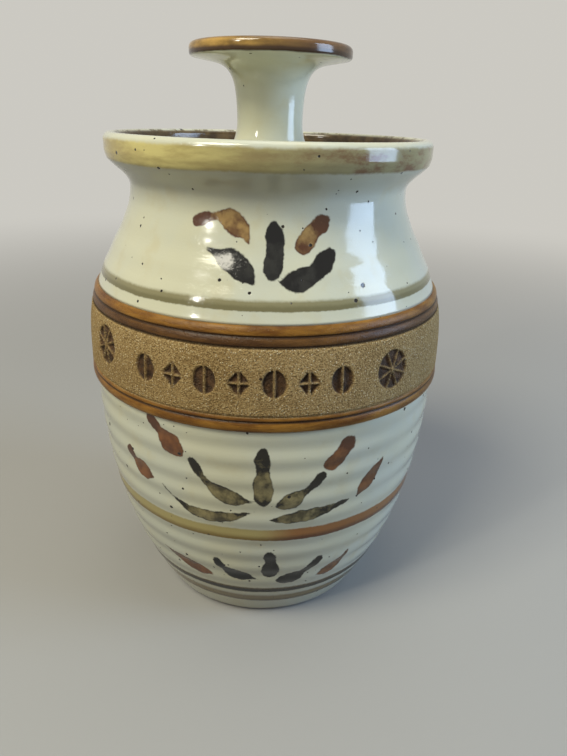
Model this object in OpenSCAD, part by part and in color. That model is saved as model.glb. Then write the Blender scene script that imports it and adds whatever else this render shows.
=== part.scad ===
// Stoneware biscuit jar, thrown on the wheel: a barrel body with a gallery inside its rim,
// a raised band of sandy clay luted round its belly and stamped, and an inset lid
// with a hollow trumpet knob. Millimetres, +Z up, origin at the centre of the foot.

/* [Jar body] */
// Height from the table to the top of the rim
jar_h = 222.5; // [205:0.5:245]
// Radius of the wall where it leaves the table
foot_r = 54; // [48:0.5:58]
// Radius of the wall at its widest
belly_r = 82.3; // [76:0.1:90]
// Height of the widest place
belly_z = 128; // [118:1:136]
// How fully the lower wall swells above the foot
lower_swell = 2.55; // [2:0.05:3]
// How long the shoulder stays wide before it turns in
shoulder_hold = 1.32; // [1.1:0.02:1.5]
// Outer radius of the neck at its narrowest
neck_r = 63; // [60:0.5:66]
// Clay from the gallery's outer corner down to the neck's narrowest place
neck_drop = 3; // [2:0.5:6]
// Thickness of the thrown wall
wall_t = 6.5; // [5.5:0.5:8]
// Thickness of the floor above the turned foot
floor_t = 8; // [6:0.5:12]
// Radius of the round between the floor and the wall inside
floor_round = 14; // [8:1:20]

/* [Foot] */
// Width of the flat ring that stands on the table
foot_ring_w = 9; // [6:0.5:12]
// Depth turned out of the base inside that ring
foot_recess = 3; // [2:0.5:5]
// Bevel turned round the outside of the foot
foot_bevel = 1.6; // [0.8:0.1:2.5]

/* [Throwing rings] */
// Height of a throwing ring above the wall
ring_rise = 0.3; // [0:0.05:0.6]
// Distance from one throwing ring to the next
ring_pitch = 10.5; // [8:0.5:16]

/* [Rim and gallery] */
// Outer radius of the rim
rim_r = 71.2; // [69:0.1:75]
// Height of the rim's upright outer face
rim_face_h = 10; // [8:0.5:12]
// Thickness of the upright rim
rim_t = 5.7; // [5:0.1:7]
// Depth of the gallery below the top of the rim
gallery_drop = 14; // [12:0.5:16]
// Radius of the mouth inside the gallery
mouth_r = 56.8; // [54:0.1:58]

/* [Clay band] */
// Height of the band's lower edge above the table
band_z = 118.5; // [112:0.5:124]
// Height of the band
band_h = 41.5; // [38:0.5:46]
// How far the band stands out of the wall at its lower edge
band_proud = 1.8; // [1.2:0.1:2.4]
// How far it stands out at its upper edge
band_proud_top = 1; // [0.6:0.1:2]
// How deep the band is let into the wall
band_seat = 1.6; // [1:0.1:2]
// Slip joint between the band and the wall
band_joint = 0.1; // [0.05:0.05:0.2]
// Width of the upper pair of beads together
upper_bead_w = 7.5; // [6:0.5:9]
// Width of the lower bead
lower_bead_w = 6.5; // [5:0.5:8]
// Depth of the grooves beside the beads
groove_depth = 0.8; // [0.4:0.1:1]

/* [Stamps] */
// Diameter of the wheel stamps
wheel_d = 16; // [12:0.5:18]
// Number of petals pressed by a wheel stamp
wheel_petals = 8; // [6:1:10]
// Angle from the middle of the row to each wheel stamp
wheel_angle = 44.5; // [42:0.5:54]
// Number of small stamps in the row
mark_count = 7; // [5:1:7]
// Angle from one small stamp to the next
mark_step = 9.2; // [8.5:0.1:10]
// Height of a small stamp
mark_h = 11; // [9:0.5:14]
// Width of a small stamp
mark_w = 9; // [7:0.5:10]
// Ridge left between the pressed parts of a stamp
stamp_ridge = 0.9; // [0.6:0.1:1.4]
// Depth that the stamps are pressed into the band
stamp_depth = 1.2; // [0.8:0.1:1.6]
// Angle that the row of stamps is turned from the front
row_turn = -7; // [-20:1:20]

/* [Lid] */
// Gap between the lid's edge and the rim
lid_gap = 0.8; // [0.5:0.1:1.5]
// Thickness of the lid at its edge
lid_t = 5; // [4:0.5:6]
// Rise of the lid's top from its edge to the knob
lid_rise = 1.2; // [0.5:0.1:2]
// Gap between the lid's locating ring and the mouth
flange_gap = 1.2; // [0.8:0.1:2]
// Depth of the locating ring below the gallery
flange_drop = 11; // [8:0.5:14]
// Thickness of the locating ring
flange_t = 4.6; // [3.5:0.1:6]

/* [Knob] */
// Height of the knob above the lid
knob_h = 42.5; // [36:0.5:48]
// Radius of the knob's lip
lip_r = 34.3; // [30:0.1:38]
// Thickness of the knob's lip
lip_t = 5.4; // [4.5:0.1:6.5]
// Radius of the knob's stem at its narrowest
stem_r = 14.3; // [12.5:0.1:16]
// Radius of the stem where it joins the lid
stem_foot_r = 19.5; // [17:0.5:22]
// Height above the lid at which the stem is narrowest
waist_h = 13; // [11:0.5:15]
// Thickness of the knob's wall
knob_wall = 5; // [4:0.5:6]
// Clay left under the knob's hollow
knob_floor = 6; // [4:0.5:8]

/* [Hidden] */
$fn = 128;

GLAZE = "#d8d9cb";
SANDY = "#ab9268";
outer_steps = 72;        // points up the outer wall
inner_steps = 36;        // points up the inner wall
band_steps = 4;          // cones up the band and its seat
arc_steps = 10;          // points round a rim, a lip or a floor corner
flare_steps = 16;        // points up the knob's flare

gallery_z = jar_h - gallery_drop;
rim_in_r = rim_r - rim_t;
overhang = rim_in_r - neck_r;              // how far the gallery's corner hangs over the neck
neck_z = gallery_z - overhang - neck_drop; // a wider rim flares from lower down
band_top = band_z + band_h;
plain_low = band_z + lower_bead_w;
plain_high = band_top - upper_bead_w;
band_mid = (plain_low + plain_high) / 2;
press_half = max(wheel_d, mark_h) / 2 + 0.5;   // half the height of the face that is stamped
press_r = (face_r(band_mid - press_half) + face_r(band_mid + press_half)) / 2;
lid_r = rim_in_r - lid_gap;
flange_r = mouth_r - flange_gap;
lid_edge_z = gallery_z + lid_t;
knob_z = lid_edge_z + lid_rise;
knob_top = knob_z + knob_h;

// Wall radius at height z: a swell up to the belly, then a shoulder that turns in to the neck.
function lower_wall(z) = foot_r + (belly_r - foot_r) * (1 - pow(1 - z / belly_z, lower_swell));
function upper_wall(z) =
    let (s = pow(min(1, (z - belly_z) / (neck_z - belly_z)), shoulder_hold))
    neck_r + (belly_r - neck_r) * (1 + cos(180 * s)) / 2;
function wall_r(z) = z < belly_z ? lower_wall(max(0, z)) : upper_wall(z);

// Throwing rings fade out at the foot and the neck.
function fade(z) = min(1, max(0, (z - 8) / 25)) * min(1, max(0, (neck_z - z) / 25));
function ringed_r(z) = wall_r(z) + ring_rise * fade(z) * cos(360 * z / ring_pitch);

function seat_r(z) = wall_r(z) - band_seat;
function inside_r(z) = max(wall_r(z) - wall_t, mouth_r);

// n + 1 points of an arc round c from angle a to angle b, with radii rx and ry.
function arc(c, rx, ry, a, b, n = arc_steps) =
    [for (i = [0:n]) let (t = a + (b - a) * i / n) [c[0] + rx * cos(t), c[1] + ry * sin(t)]];
// n + 1 points of a cubic curve from p to q that leaves along u and arrives along v.
function curve(p, q, u, v, n) =
    [for (i = [0:n]) let (t = i / n, k = 1 - t)
        k * k * k * p + 3 * k * k * t * (p + u) + 3 * k * t * t * (q - v) + t * t * t * q];
function steps(a, b, n) = [for (i = [0:n]) a + (b - a) * i / n];
function middle(list) = [for (i = [1:len(list) - 2]) list[i]];

// Outer wall from the foot to the neck, with the seat that the clay band is luted into.
function wall_outline() = concat(
    [[foot_r - foot_bevel, 0]],
    [for (z = steps(foot_bevel, band_z, outer_steps / 2)) [ringed_r(z), z]],
    [for (z = steps(band_z, band_top, band_steps)) [seat_r(z), z]],
    [for (z = steps(band_top, neck_z, outer_steps / 3)) [ringed_r(z), z]]);

// The rim: a flare out of the neck, an upright face, and a rounded top.
function rim_outline() =
    let (face_z = jar_h - rim_face_h, top_r = rim_t / 2)
    concat(
        curve([neck_r, neck_z], [rim_r - 0.8, face_z], [0, 5.5], [1.2, 3.5], arc_steps),
        arc([rim_r - top_r, jar_h - top_r], top_r, top_r, 0, 180));

function cavity_outline() =
    let (floor_z = foot_recess + floor_t, start_z = floor_z + floor_round,
         start_r = inside_r(start_z))
    concat(
        [[rim_in_r, gallery_z], [mouth_r + 1, gallery_z], [mouth_r, gallery_z - 1]],
        [for (z = steps(neck_z + 1, start_z, inner_steps)) [inside_r(z), z]],
        arc([start_r - floor_round, start_z], floor_round, floor_round, 0, -90),
        [[0, floor_z]]);

module jar_body() {
    color(GLAZE)
    rotate_extrude()
    polygon(concat(
        [[0, foot_recess], [foot_r - foot_bevel - foot_ring_w, foot_recess],
         [foot_r - foot_bevel - foot_ring_w + 1, 0]],
        wall_outline(), rim_outline(), cavity_outline()));
}

// A bead between two heights, as a half-round standing out of the band's face.
function bead(z0, z1, rise) =
    [for (p = middle(arc([0, (z0 + z1) / 2], rise, (z1 - z0) / 2, -90, 90, 8)))
        [face_r(p[1]) - groove_depth + p[0], p[1]]];
function face_r(z) =
    wall_r(z) + band_proud + (band_proud_top - band_proud) * (z - band_z) / band_h;
function groove(z) = [[face_r(z) - groove_depth, z]];

function band_outline() =
    let (bead_mid = (plain_high + band_top) / 2)
    concat(
        [[wall_r(band_z) + 0.3, band_z]],
        bead(band_z, plain_low, groove_depth + 0.2),
        groove(plain_low),
        [[face_r(plain_low + 0.8), plain_low + 0.8],
         [press_r, band_mid - press_half], [press_r, band_mid + press_half],
         [face_r(plain_high - 0.8), plain_high - 0.8]],
        groove(plain_high),
        bead(plain_high, bead_mid, groove_depth),
        groove(bead_mid),
        bead(bead_mid, band_top, groove_depth + 0.1),
        [[wall_r(band_top) + 0.3, band_top]]);

module band_blank() {
    rotate_extrude()
    polygon(concat(
        band_outline(),
        [for (z = steps(band_top, band_z, band_steps)) [seat_r(z) + band_joint, z]]));
}

// One petal of a wheel stamp: a sector with its ridges left standing on both sides.
module petal() {
    half = 180 / wheel_petals;
    inset = stamp_ridge / 2;
    tip = inset / sin(half);
    reach = wheel_d / 2;
    edge = half - asin(inset / reach);
    polygon(concat([[tip, 0]], arc([0, 0], reach, reach, -edge, edge, 6)));
}

module wheel_stamp() {
    for (i = [0:wheel_petals - 1])
        rotate(360 * i / wheel_petals)
            petal();
}

// A small stamp of four leaves round a cross: two tall and two wide.
module lozenge_stamp() {
    for (sx = [-1, 1], sy = [-1, 1])
        mirror([sx < 0 ? 1 : 0, 0])
        mirror([0, sy < 0 ? 1 : 0])
            polygon([
                [stamp_ridge / 2, stamp_ridge / 2],
                [mark_w / 2 - stamp_ridge / 2, stamp_ridge / 2],
                [stamp_ridge / 2, mark_h / 2 - stamp_ridge / 2]]);
}

// A small stamp of two leaves, one each side of an upright stem.
module leaf_stamp() {
    for (sx = [-1, 1])
        mirror([sx < 0 ? 1 : 0, 0])
            polygon(concat(
                [[stamp_ridge / 2, 0.6 - mark_h / 2]],
                [for (t = [1:4]) let (a = 36 * t)
                    [stamp_ridge / 2 + (mark_w - stamp_ridge) / 2 * sin(a), mark_h * (t / 5 - 0.5)]],
                [[stamp_ridge / 2, mark_h / 2 - 0.6]]));
}

// Stands a flat stamp up against the band's face at an angle from the front.
module press(angle) {
    rotate([0, 0, angle])
        translate([0, stamp_depth - press_r, band_mid])
            rotate([90, 0, 0])
                linear_extrude(height = stamp_depth + 5)
                    children();
}

module clay_band() {
    color(SANDY)
    difference() {
        band_blank();
        for (side = [-1, 1])
            press(row_turn + side * wheel_angle)
                wheel_stamp();
        for (i = [0:mark_count - 1])
            press(row_turn + (i - (mark_count - 1) / 2) * mark_step)
                if (i % 2 == 0) leaf_stamp(); else lozenge_stamp();
    }
}

module lid() {
    edge = 1.6;                      // radius of the lid's upper edge
    under_z = gallery_z + 0.6;       // underside of the lid inside its locating ring
    color(GLAZE)
    rotate_extrude()
    polygon(concat(
        [[0, under_z + lid_rise], [flange_r - flange_t - 6, under_z]],
        arc([flange_r - flange_t - 3, under_z - 3], 3, 3, 90, 0, 5),
        arc([flange_r - flange_t / 2, gallery_z - flange_drop + flange_t / 2],
            flange_t / 2, flange_t / 2, 180, 360),
        [[flange_r, gallery_z], [lid_r, gallery_z]],
        arc([lid_r - edge, lid_edge_z - edge], edge, edge, 0, 90, 6),
        [[stem_foot_r + 2, knob_z], [0, knob_z]]));
}

// Outside of the knob: a foot on the lid, a waist, then a flare out to the lip.
function knob_outside() =
    let (waist = [stem_r, knob_z + waist_h], under_lip = knob_top - lip_t)
    concat(
        curve([stem_foot_r, knob_z], waist, [-3.6, 3], [0, 5], 8),
        middle(curve(waist, [lip_r - 1.2, under_lip + 0.9], [0.3, 17], [12.5, 4.2], flare_steps)));

function knob_inside() =
    let (hollow_r = stem_r - knob_wall, floor_z = knob_z + knob_floor)
    concat(
        middle(curve([lip_r - 3.4, knob_top - 0.4], [hollow_r, knob_z + waist_h + 4],
                     [-13.5, -5.5], [0, -12], flare_steps)),
        arc([0, floor_z + hollow_r], hollow_r, hollow_r, 0, -90));

module knob() {
    color(GLAZE)
    rotate_extrude()
    polygon(concat(
        [[0, knob_z]], knob_outside(),
        arc([lip_r - lip_t / 2, knob_top - lip_t / 2], lip_t / 2, lip_t / 2, -50, 110),
        knob_inside()));
}

jar_body();
clay_band();
lid();
knob();
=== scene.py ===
# %% [markdown]
# # A lidded biscuit jar in speckled stoneware
# The jar is thrown on a wheel: a barrel body, a strip of bare sandy clay round its belly,
# an inset lid, and a hollow trumpet knob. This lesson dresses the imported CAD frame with
# turned pieces and glaze materials. Nothing here moves or reshapes the CAD itself.

# %% Load the frame
import bpy
import bmesh
import math
import numpy as np
from mathutils import Matrix, Vector


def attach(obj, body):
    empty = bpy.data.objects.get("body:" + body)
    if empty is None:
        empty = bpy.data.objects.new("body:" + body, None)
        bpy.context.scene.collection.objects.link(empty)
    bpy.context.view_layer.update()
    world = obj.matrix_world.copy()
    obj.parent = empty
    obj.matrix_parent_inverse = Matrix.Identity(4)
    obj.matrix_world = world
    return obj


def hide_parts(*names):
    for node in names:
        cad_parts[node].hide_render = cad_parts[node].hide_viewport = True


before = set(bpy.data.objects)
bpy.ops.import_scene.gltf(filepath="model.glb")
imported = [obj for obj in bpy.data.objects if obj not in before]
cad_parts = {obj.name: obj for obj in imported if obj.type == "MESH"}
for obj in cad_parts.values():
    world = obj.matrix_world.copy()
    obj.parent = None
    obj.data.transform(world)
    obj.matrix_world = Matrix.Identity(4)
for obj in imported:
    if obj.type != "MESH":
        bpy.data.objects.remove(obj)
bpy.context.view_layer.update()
bpy.ops.object.select_all(action="DESELECT")
MM = 0.001

# %% [markdown]
# ## Camera
# A phone was held close to the jar and a little above it, so the belly bulges towards the
# lens and the foot looks small. A camera close by with a wide lens gives that same swell.
# Its place comes from the circles of the rim, the belly and the foot.

# %% Place the camera
CAMERA_AT = Vector((-0.6, -286.0, 230.7)) * MM
CAMERA_YAW, CAMERA_PITCH, CAMERA_ROLL = (math.radians(a) for a in (2.0, 23.7, 1.75))
IMAGE_H, FOCAL_PX, SENSOR_MM = 756, 600.0, 36.0

forward = Vector((math.sin(CAMERA_YAW) * math.cos(CAMERA_PITCH),
                  math.cos(CAMERA_YAW) * math.cos(CAMERA_PITCH), -math.sin(CAMERA_PITCH)))
right = forward.cross(Vector((0, 0, 1))).normalized()
up = right.cross(forward)
turned = Matrix((right, up, -forward)).transposed().to_4x4()
bpy.ops.object.camera_add()
camera = bpy.context.object
camera.name = "camera"
camera.matrix_world = (Matrix.Translation(CAMERA_AT) @ turned
                       @ Matrix.Rotation(CAMERA_ROLL, 4, "Z"))
camera.data.sensor_width = SENSOR_MM
camera.data.lens = SENSOR_MM * FOCAL_PX / IMAGE_H
camera.data.clip_start = 0.01
bpy.context.scene.camera = camera
bpy.context.scene.view_settings.view_transform = "Standard"
print("lens", round(camera.data.lens, 2), "mm")

# %% [markdown]
# ## The outline of the pot
# A thrown pot is one outline turned about the wheel's axis. The outline could be drawn with
# a handful of points and smoothed, but the CAD gives it as a formula, so the same formula is
# used here at a finer step. All lengths in the outlines are millimetres.

# %% Outline of the wall
FOOT_R, BELLY_R, BELLY_Z, NECK_R = 54.0, 82.3, 128.0, 61.5
BELLY_SWELL, SHOULDER_FALL = 2.55, 1.51  # how full the curve is below and above the belly
JAR_H, RIM_R, RIM_T, RIM_FACE = 222.5, 71.2, 5.7, 10.0
GALLERY_Z, MOUTH_R, WALL_T, NECK_DROP = 208.5, 56.8, 6.5, 3.0
RIM_IN_R = RIM_R - RIM_T
NECK_Z = GALLERY_Z - (RIM_IN_R - NECK_R) - NECK_DROP
RING_PITCH, RING_RISE, UPPER_RINGS = 10.5, 0.27, 0.5
RINGS_FROM, RINGS_FADE = 8, 25


def share_of(value, length):
    """value as a share of length, kept between 0 and 1."""
    return min(1, max(0, value / length))


def wall_radius(z):
    """Radius of the plain wall at height z."""
    if z < BELLY_Z:
        return FOOT_R + (BELLY_R - FOOT_R) * (1 - (1 - max(0.0, z) / BELLY_Z) ** BELLY_SWELL)
    s = min(1.0, (z - BELLY_Z) / (NECK_Z - BELLY_Z)) ** SHOULDER_FALL
    return NECK_R + (BELLY_R - NECK_R) * (1 + math.cos(math.pi * s)) / 2


def thrown_radius(z):
    """The wall with the soft ridges that the potter's fingers leave, softer on the shoulder."""
    fade = share_of(z - RINGS_FROM, RINGS_FADE) * share_of(NECK_Z - z, RINGS_FADE)
    fade *= 1.0 if z < BELLY_Z else UPPER_RINGS
    return wall_radius(z) + RING_RISE * fade * math.cos(2 * math.pi * z / RING_PITCH)


def arc(cx, cz, rx, rz, a, b, n=10):
    """Points of an elliptic arc from angle a to b, in degrees."""
    turns = [math.radians(a + (b - a) * i / n) for i in range(n + 1)]
    return [(cx + rx * math.cos(t), cz + rz * math.sin(t)) for t in turns]


def curve(p, q, u, v, n):
    """Points of a cubic curve from p to q that leaves along u and arrives along v."""
    out = []
    for i in range(n + 1):
        t = i / n
        k = 1 - t
        out.append(tuple(k**3 * p[j] + 3 * k * k * t * (p[j] + u[j])
                         + 3 * k * t * t * (q[j] - v[j]) + t**3 * q[j] for j in (0, 1)))
    return out


print("belly radius", round(thrown_radius(BELLY_Z), 2), "neck radius", NECK_R)

# %% [markdown]
# ## Turning an outline
# A circle is a ready-made loop of points. It is added with as many points as the outline
# has, its points are laid on the outline, and it is turned about the upright axis as clay is
# on a wheel. Spinning in edit mode gives the same faces, but it gets slow with hundreds of
# steps, so a Screw modifier with no climb does the turning in one go.


# %% Helper: turn an outline into a piece
SAME_POINT = 1e-6


def turn(name, outline, steps):
    """Turns an open outline of (radius, height) in mm into a closed piece."""
    bpy.ops.object.select_all(action="DESELECT")
    bpy.ops.mesh.primitive_circle_add(vertices=len(outline), radius=0.05)
    piece = bpy.context.object
    piece.name = piece.data.name = name
    bpy.ops.object.mode_set(mode="EDIT")
    mesh = bmesh.from_edit_mesh(piece.data)
    mesh.verts.ensure_lookup_table()
    for vert, (radius, height) in zip(mesh.verts, outline):
        vert.co = (0.0, -radius * MM, height * MM)
    ends = {mesh.verts[0], mesh.verts[-1]}
    closing = [e for e in mesh.edges if set(e.verts) == ends]
    bmesh.ops.delete(mesh, geom=closing, context="EDGES")
    bmesh.update_edit_mesh(piece.data)
    bpy.ops.object.mode_set(mode="OBJECT")
    wheel = piece.modifiers.new("wheel", "SCREW")
    wheel.axis, wheel.angle, wheel.screw_offset = "Z", 2 * math.pi, 0.0
    wheel.steps = wheel.render_steps = steps
    wheel.use_merge_vertices, wheel.merge_threshold = True, SAME_POINT
    bpy.ops.object.modifier_apply(modifier=wheel.name)
    bpy.ops.object.mode_set(mode="EDIT")
    bpy.ops.mesh.select_all(action="SELECT")
    bpy.ops.mesh.remove_doubles(threshold=SAME_POINT)
    bpy.ops.mesh.select_all(action="SELECT")
    bpy.ops.mesh.normals_make_consistent(inside=False)
    bpy.ops.object.mode_set(mode="OBJECT")
    bpy.ops.object.shade_smooth()
    print(name, len(piece.data.vertices), "points,", len(piece.data.polygons), "faces")
    return piece


def points_of(piece):
    """Every point of a piece in mm, as an array."""
    found = np.zeros(len(piece.data.vertices) * 3)
    piece.data.vertices.foreach_get("co", found)
    return found.reshape(-1, 3) / MM


def around(spots):
    """Angle from the front in degrees, radius and height in mm, of every point."""
    angle = np.degrees(np.arctan2(spots[:, 0], -spots[:, 1]))
    return angle, np.hypot(spots[:, 0], spots[:, 1]), spots[:, 2]


def turned_from(angle, centre):
    """Angles measured from centre, between -180 and 180 degrees."""
    return (angle - centre + 180) % 360 - 180


def store(piece, name, values):
    """Keeps one number per point, for a material to read."""
    layer = piece.data.attributes.new(name, "FLOAT", "POINT")
    layer.data.foreach_set("value", np.asarray(values, dtype=np.float32))


# %% [markdown]
# ## The jar body
# Foot, wall, neck, rim, gallery and inside are all one clay wall, so they are one outline.
# It starts under the foot at the axis, goes up the outside, over the rim, down on to the
# ledge that carries the lid, and down the inside to the middle of the floor.

# %% Turn the jar body
BAND_Z, BAND_TOP, BAND_SEAT = 118.5, 160.0, 1.6
FOOT_RECESS, FOOT_WIDTH, FOOT_ROUND = 3.0, 10.6, 1.6
FLOOR_T, FLOOR_ROUND = 8.0, 14.0
RIM_LEAN, GALLERY_CORNER = 0.8, 0.8
OUTSIDE_STEP, SEAT_STEP, INSIDE_STEP = 1.05, 7, 4.5  # mm from one point to the next


def spaced(a, b, step):
    """Heights from a to b, no more than step apart."""
    n = max(1, math.ceil(abs(b - a) / step))
    return [a + (b - a) * i / n for i in range(n + 1)]


def inside_radius(z):
    return max(wall_radius(z) - WALL_T, MOUTH_R)


def foot_outline():
    """The recess under the foot, and the ring that the jar stands on."""
    foot_in = FOOT_R - FOOT_WIDTH
    return ([(0, FOOT_RECESS), (20, FOOT_RECESS), (foot_in, FOOT_RECESS),
             (foot_in + 1, 0.25), (foot_in + 1.6, 0), (FOOT_R - FOOT_ROUND - 1, 0)]
            + arc(FOOT_R - FOOT_ROUND, FOOT_ROUND, FOOT_ROUND, FOOT_ROUND, -75, -5, 4))


def rim_outline():
    """The flare out of the neck, the rim's upright face and its rounded top."""
    face_z, half = JAR_H - RIM_FACE, RIM_T / 2
    out = curve((NECK_R, NECK_Z), (RIM_R - RIM_LEAN, face_z), (0, 4.6), (2.6, 3.6), 14)[1:]
    out += [(RIM_R - RIM_LEAN + RIM_LEAN * min(1, (z - face_z) / 3), z)
            for z in spaced(face_z, JAR_H - half, 1.0)[1:]]
    return out + arc(RIM_R - half, JAR_H - half, half, half, 0, 180, 14)[1:]


def jar_outline():
    floor_z = FOOT_RECESS + FLOOR_T
    start_z = floor_z + FLOOR_ROUND
    out = foot_outline()
    out += [(thrown_radius(z), z) for z in spaced(2.4, BAND_Z, OUTSIDE_STEP)]
    out += [(wall_radius(z) - BAND_SEAT, z) for z in spaced(BAND_Z, BAND_TOP, SEAT_STEP)]
    out += [(thrown_radius(z), z) for z in spaced(BAND_TOP, NECK_Z, OUTSIDE_STEP)]
    out += rim_outline()
    out += [(RIM_IN_R, z)
            for z in spaced(JAR_H - RIM_T / 2, GALLERY_Z + GALLERY_CORNER, 2.5)[1:]]
    out += [(RIM_IN_R - GALLERY_CORNER, GALLERY_Z), (MOUTH_R + 1, GALLERY_Z)]
    out += [(MOUTH_R, GALLERY_Z - 1)]
    out += [(inside_radius(z), z) for z in spaced(NECK_Z + 1, start_z, INSIDE_STEP)]
    out += arc(inside_radius(start_z) - FLOOR_ROUND, start_z, FLOOR_ROUND, FLOOR_ROUND,
               0, -90, 8)[1:]
    return out + [(r, floor_z) for r in (34, 18, 0)]


jar = turn("jar_body_turned", jar_outline(), steps=400)

# %% [markdown]
# ## Brushwork
# Three rows of leaf dabs are brushed on the raw glaze in iron and rust pigments. They could
# be separate flat pieces, but pigment sinks into glaze and has no edge to feel. So each
# point of the wall keeps how deep it lies inside a dab, and the glaze reads that number.
# The dabs make plain fans of leaves, painted front and back. Each is thin at its tail and
# has a round head where the brush was set down, and no two are alike.


# %% Shapes of the dabs
# Widths along a dab, from its tail to its head, as shares of the brush's own half width.
LEAF = (0.10, 0.50, 0.88, 1.0, 0.95, 0.72, 0.42, 0.15)
HEADED = (0.08, 0.45, 0.85, 1.0, 0.82, 0.48, 0.42, 0.56, 0.52)
TWO_HEADED = (0.25, 0.85, 1.0, 0.90, 0.62, 0.66, 0.80, 0.45)
BROAD = (0.35, 0.90, 1.0, 0.95, 0.86, 0.88, 0.95, 0.60)
BLOT = (0.10, 0.50, 0.90, 1.0, 0.92, 0.80, 0.82, 0.95, 0.70)
SWEEP = (0.10, 0.60, 0.95, 1.0, 0.72, 0.45, 0.26, 0.14)


def dab(start, middle, end, half_width, shape=HEADED):
    """One press of the brush along a bent line, from its tail to where it was set down."""
    t = np.linspace(0, 1, 33)
    start, middle, end = (np.array(p, float) for p in (start, middle, end))
    k = t[:, None]
    line = (1 - k) ** 2 * start + 2 * k * (1 - k) * middle + k * k * end
    return line, half_width * np.interp(t, np.linspace(0, 1, len(shape)), shape)


# Where each dab starts, bends and ends: mm round the wall from the front, and height.
DARK = [dab((0.8, 176.5), (3.6, 184), (2.0, 192.8), 3.9, BROAD),
        dab((-5.0, 173.5), (-10, 181.5), (-23, 184.3), 4.5, LEAF),
        dab((4.7, 174.5), (15.5, 173.5), (23.4, 183), 4.2, BLOT),
        dab((3.0, 36), (4.0, 45), (2.8, 53), 4.2, TWO_HEADED),
        dab((-2.4, 34), (-17.4, 36.3), (-20.9, 45.5), 4.0),
        dab((6.3, 32.5), (14.7, 30.8), (26.3, 45.2), 4.2)]
OLIVE = [dab((-0.1, 83), (-0.9, 96), (-0.6, 109), 4.5, TWO_HEADED),
         dab((-4.3, 84.5), (-21.8, 84), (-30.1, 101.5), 4.1),
         dab((4.5, 82), (13, 83), (24, 96), 4.2),
         dab((-4.3, 78.5), (-30, 67), (-46, 85), 3.3, SWEEP),
         dab((2.7, 74.5), (17, 74.5), (41, 80.5), 3.4, LEAF)]
RUST = [dab((-7, 187), (-13, 200), (-27.3, 193.5), 4.5, HEADED),
        dab((11.9, 185), (15.5, 191.5), (21.5, 194.8), 3.8, BROAD),
        dab((-34.1, 102.5), (-42.3, 108.5), (-49.3, 116.0), 5.2),
        dab((26.6, 100), (32, 104), (36, 111), 4.2, BROAD),
        dab((-50.8, 86), (-60.9, 88.1), (-65.5, 95), 4.5),
        dab((41.8, 80), (48.3, 88.5), (56, 97), 3.6, LEAF),
        dab((-22.6, 33), (-33.7, 35.1), (-50, 42), 3.8, LEAF),
        dab((25.5, 32), (34.1, 32.8), (42.3, 44.5), 3.4, LEAF)]
print("dabs in one fan", len(DARK) + len(OLIVE) + len(RUST))

# %% Measure the dabs on the wall
FAN_TURNS = (0.0, 180.0)
FAR_OUT, NEARBY, FACES_OUT = -9.0, 10, 0.2


def depth_in(dabs, along, height):
    """How deep each point lies inside the dabs, and how far along the stroke it is."""
    deepest = np.full(len(height), FAR_OUT)
    travel = np.zeros(len(height))
    for line, width in dabs:
        low, high = line.min(0) - NEARBY, line.max(0) + NEARBY
        near = np.flatnonzero((along > low[0]) & (along < high[0])
                              & (height > low[1]) & (height < high[1]))
        if not len(near):
            continue
        spot = np.stack([along[near], height[near]], 1)
        inside = width[None, :] - np.linalg.norm(spot[:, None] - line[None], axis=2)
        best = inside.argmax(1)
        deep = inside.max(1)
        better = deep > deepest[near]
        deepest[near[better]] = deep[better]
        travel[near[better]] = best[better] / (len(width) - 1)
    return deepest, travel


def paint(piece):
    spots = points_of(piece)
    angle, radius, height = around(spots)
    normals = np.zeros(len(height) * 3)
    piece.data.vertices.foreach_get("normal", normals)
    facing = (normals.reshape(-1, 3)[:, :2] * spots[:, :2]).sum(1) / np.maximum(radius, 1e-6)
    store(piece, "inside", np.clip(-facing * 4 + 0.5, 0, 1))
    for name, dabs in (("dark", DARK), ("olive", OLIVE), ("rust", RUST)):
        depth, travel = np.full(len(height), FAR_OUT), np.zeros(len(height))
        for centre in FAN_TURNS:
            found, along = depth_in(dabs, np.radians(turned_from(angle, centre)) * radius, height)
            travel = np.where(found > depth, along, travel)
            depth = np.maximum(depth, found)
        store(piece, name, np.where(facing > FACES_OUT, depth, FAR_OUT))
        store(piece, name + "_travel", travel)
        print(name, int((depth > 0).sum()), "points painted")


paint(jar)

# %% [markdown]
# ## The clay band
# The band is a strip of coarse clay pressed into a seat in the wall, with two beads above
# and two below. It is turned like the jar, finely enough to take the stamps. The
# stamps are pressed with a Displace modifier whose strength a vertex group sets, as a
# potter presses harder or softer.

# %% Turn the band
BAND_PROUD, BAND_PROUD_TOP, BAND_H = 1.8, 1.0, BAND_TOP - BAND_Z
GROOVE, UPPER_BEAD, LOWER_BEAD, BAND_JOINT = 0.8, 7.5, 6.5, 0.1
PLAIN_LOW, PLAIN_HIGH = BAND_Z + LOWER_BEAD, BAND_TOP - UPPER_BEAD
BAND_MID = (PLAIN_LOW + PLAIN_HIGH) / 2
LOWER_GROOVE_Z, UPPER_GROOVE_Z = 123.0, (PLAIN_HIGH + BAND_TOP) / 2
EDGE_PROUD, FACE_STEP, BAND_SEAT_STEP = 0.3, 0.5, 10.4


def face_radius(z):
    rise = (BAND_PROUD_TOP - BAND_PROUD) * (z - BAND_Z) / BAND_H
    return wall_radius(z) + BAND_PROUD + rise


def bead(z0, z1, rise):
    """The round of a bead between two heights, out of the bottom of its grooves."""
    half = arc(0, (z0 + z1) / 2, rise, (z1 - z0) / 2, -90, 90, 10)[1:-1]
    return [(face_radius(z) - GROOVE + r, z) for r, z in half]


def groove(z):
    return [(face_radius(z) - GROOVE, z)]


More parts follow.
